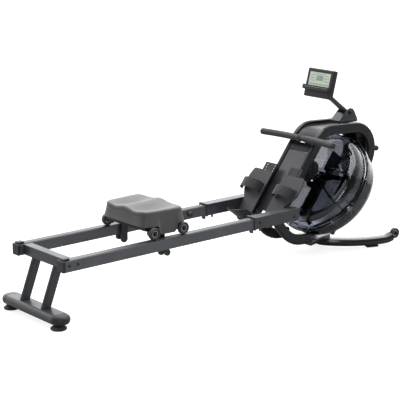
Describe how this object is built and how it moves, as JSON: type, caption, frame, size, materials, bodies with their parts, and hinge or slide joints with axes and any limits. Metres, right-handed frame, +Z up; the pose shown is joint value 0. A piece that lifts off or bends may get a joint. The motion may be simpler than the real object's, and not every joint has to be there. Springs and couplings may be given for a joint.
{
  "type": "rowing machine",
  "caption": "Water rowing machine: clear tilted water tank between tube hoops, twin rails with a rolling seat, foot rests with straps, pull handle and small monitor.",
  "frame": {"origin": "on the floor, below the middle of the machine's length and width", "axes": "+X towards the tank end, +Y to the left of someone seated facing the tank, +Z up"},
  "size_m": [2.12, 0.541, 0.9055],
  "materials": {
    "frame_paint": "satin charcoal powder coat",
    "rail_paint": "satin charcoal powder coat",
    "track_steel": "brushed strip, bright from rolling",
    "bare_steel": "ground and lightly oiled",
    "black_plastic": "fine moulded grain",
    "gloss_plastic": "gloss moulded cover",
    "black_rubber": "matt rubber",
    "wheel_tyre": "hard tread",
    "seat_foam": "skinned foam, fine grain",
    "grip_foam": "soft ribless foam",
    "smoked_clear": "smoke-tinted clear polycarbonate",
    "webbing": "woven webbing",
    "display_glass": "grey-green display window"
  },
  "bodies": {
    "frame": {"rear_stand": "frame_paint", "foot_bar_cap_left": "black_plastic", "foot_bar_cap_right": "black_plastic", "rear_levelling_foot_left": "black_rubber", "rear_levelling_foot_right": "black_rubber", "rail_left": "rail_paint", "rail_right": "rail_paint", "rail_track_left": "track_steel", "rail_track_right": "track_steel", "rail_end_cap_left": "black_plastic", "rail_end_cap_right": "black_plastic", "front_seat_stop_left": "black_rubber", "front_seat_stop_right": "black_rubber", "rail_sleeve_left": "frame_paint", "rail_sleeve_right": "frame_paint", "side_frame_left": "frame_paint", "side_frame_right": "frame_paint", "storage_bumper_left": "black_rubber", "storage_bumper_right": "black_rubber", "stabiliser_foot_left": "black_rubber", "stabiliser_foot_right": "black_rubber", "foot_plate_left": "frame_paint", "foot_plate_right": "frame_paint", "slope_cover": "frame_paint", "belt_guide_cover": "gloss_plastic", "top_cover": "gloss_plastic", "front_stabiliser": "frame_paint", "stabiliser_mount": "frame_paint", "tank_rear_shell": "smoked_clear", "tank_front_shell": "smoked_clear", "tank_seal": "black_rubber", "bearing_carrier": "frame_paint", "idler_axle": "bare_steel", "monitor_bracket": "frame_paint"},
    "seat": {"seat_pad": "seat_foam", "seat_carriage": "black_plastic"},
    "impeller_set": {"impeller": "black_plastic", "impeller_shaft": "bare_steel"},
    "drum": {"drive_drum": "black_plastic"},
    "idler": {"idler_pulley": "black_plastic"},
    "handle": {"handle_grip": "grip_foam", "drive_belt": "webbing"},
    "monitor": {"monitor_arm": "frame_paint", "monitor_case": "black_plastic", "monitor_screen": "display_glass"},
    "rear_wheel_left": {"seat_wheel_rear_left": "wheel_tyre"},
    "rear_wheel_right": {"seat_wheel_rear_right": "wheel_tyre"},
    "front_wheel_left": {"seat_wheel_front_left": "wheel_tyre"},
    "front_wheel_right": {"seat_wheel_front_right": "wheel_tyre"},
    "guide_left": {"guide_roller_left": "black_plastic"},
    "guide_right": {"guide_roller_right": "black_plastic"},
    "foot_rest_left": {"foot_rest_left": "black_plastic", "foot_strap_left": "webbing"},
    "foot_rest_right": {"foot_rest_right": "black_plastic", "foot_strap_right": "webbing"},
    "button_left": {"monitor_button_left": "black_plastic"},
    "button_right": {"monitor_button_right": "black_plastic"},
    "transport_left": {"transport_wheel_left": "black_plastic"},
    "transport_right": {"transport_wheel_right": "black_plastic"}
  },
  "joints": [
    {"name": "seat_slide", "type": "slide", "parent": "frame", "child": "seat", "axis": [1, 0, 0], "range_m": [-0.429, 0.366]},
    {"name": "rear_wheel_left_roll", "type": "hinge", "parent": "seat", "child": "rear_wheel_left", "pos_m": [-0.505, 0.1705, 0.3166], "axis": [0, 1, 0], "range_deg": [-910, 780]},
    {"name": "rear_wheel_right_roll", "type": "hinge", "parent": "seat", "child": "rear_wheel_right", "pos_m": [-0.505, -0.1705, 0.3166], "axis": [0, 1, 0], "range_deg": [-910, 780]},
    {"name": "front_wheel_left_roll", "type": "hinge", "parent": "seat", "child": "front_wheel_left", "pos_m": [-0.3415, 0.1705, 0.3166], "axis": [0, 1, 0], "range_deg": [-910, 780]},
    {"name": "front_wheel_right_roll", "type": "hinge", "parent": "seat", "child": "front_wheel_right", "pos_m": [-0.3415, -0.1705, 0.3166], "axis": [0, 1, 0], "range_deg": [-910, 780]},
    {"name": "guide_left_roll", "type": "hinge", "parent": "seat", "child": "guide_left", "pos_m": [-0.438, 0.1755, 0.2225], "axis": [0, 1, 0], "range_deg": [-1370, 1600]},
    {"name": "guide_right_roll", "type": "hinge", "parent": "seat", "child": "guide_right", "pos_m": [-0.438, -0.1755, 0.2225], "axis": [0, 1, 0], "range_deg": [-1370, 1600]},
    {"name": "handle_pull", "type": "slide", "parent": "frame", "child": "handle", "axis": [-1, 0, 0], "range_m": [0, 1.1]},
    {"name": "impeller_spin", "type": "hinge", "parent": "frame", "child": "impeller_set", "pos_m": [0.708, 0, 0.3265], "axis": [-0.788, 0, 0.6157], "continuous": true},
    {"name": "drum_spin", "type": "hinge", "parent": "frame", "child": "drum", "pos_m": [0.708, 0, 0.3265], "axis": [-0.788, 0, 0.6157], "range_deg": [-5, 1270]},
    {"name": "idler_spin", "type": "hinge", "parent": "frame", "child": "idler", "pos_m": [0.57363, 0, 0.53135], "axis": [0, 1, 0], "range_deg": [-3600, 5]},
    {"name": "foot_rest_left_adjust", "type": "slide", "parent": "frame", "child": "foot_rest_left", "axis": [0.6157, 0, 0.788], "range_m": [0, 0.045]},
    {"name": "foot_rest_right_adjust", "type": "slide", "parent": "frame", "child": "foot_rest_right", "axis": [0.6157, 0, 0.788], "range_m": [0, 0.045]},
    {"name": "monitor_tilt", "type": "hinge", "parent": "frame", "child": "monitor", "pos_m": [0.8627, 0, 0.6741], "axis": [0, 1, 0], "range_deg": [-5, 30]},
    {"name": "button_left_press", "type": "slide", "parent": "monitor", "child": "button_left", "axis": [0.9664, 0, -0.2571], "range_m": [0, 0.0012], "stiffness_N_per_m": 400},
    {"name": "button_right_press", "type": "slide", "parent": "monitor", "child": "button_right", "axis": [0.9664, 0, -0.2571], "range_m": [0, 0.0012], "stiffness_N_per_m": 400},
    {"name": "transport_left_roll", "type": "hinge", "parent": "frame", "child": "transport_left", "pos_m": [1.0335, 0.2055, 0.054], "axis": [0, 1, 0], "continuous": true},
    {"name": "transport_right_roll", "type": "hinge", "parent": "frame", "child": "transport_right", "pos_m": [1.0335, -0.2055, 0.054], "axis": [0, 1, 0], "continuous": true}
  ],
  "couplings": [
    {"joint": "rear_wheel_left_roll", "follows": "seat_slide", "rad_per_m": 36.364},
    {"joint": "rear_wheel_right_roll", "follows": "seat_slide", "rad_per_m": 36.364},
    {"joint": "front_wheel_left_roll", "follows": "seat_slide", "rad_per_m": 36.364},
    {"joint": "front_wheel_right_roll", "follows": "seat_slide", "rad_per_m": 36.364},
    {"joint": "guide_left_roll", "follows": "seat_slide", "rad_per_m": -64.516},
    {"joint": "guide_right_roll", "follows": "seat_slide", "rad_per_m": -64.516},
    {"joint": "drum_spin", "follows": "handle_pull", "rad_per_m": 20},
    {"joint": "idler_spin", "follows": "handle_pull", "rad_per_m": -51.813}
  ]
}
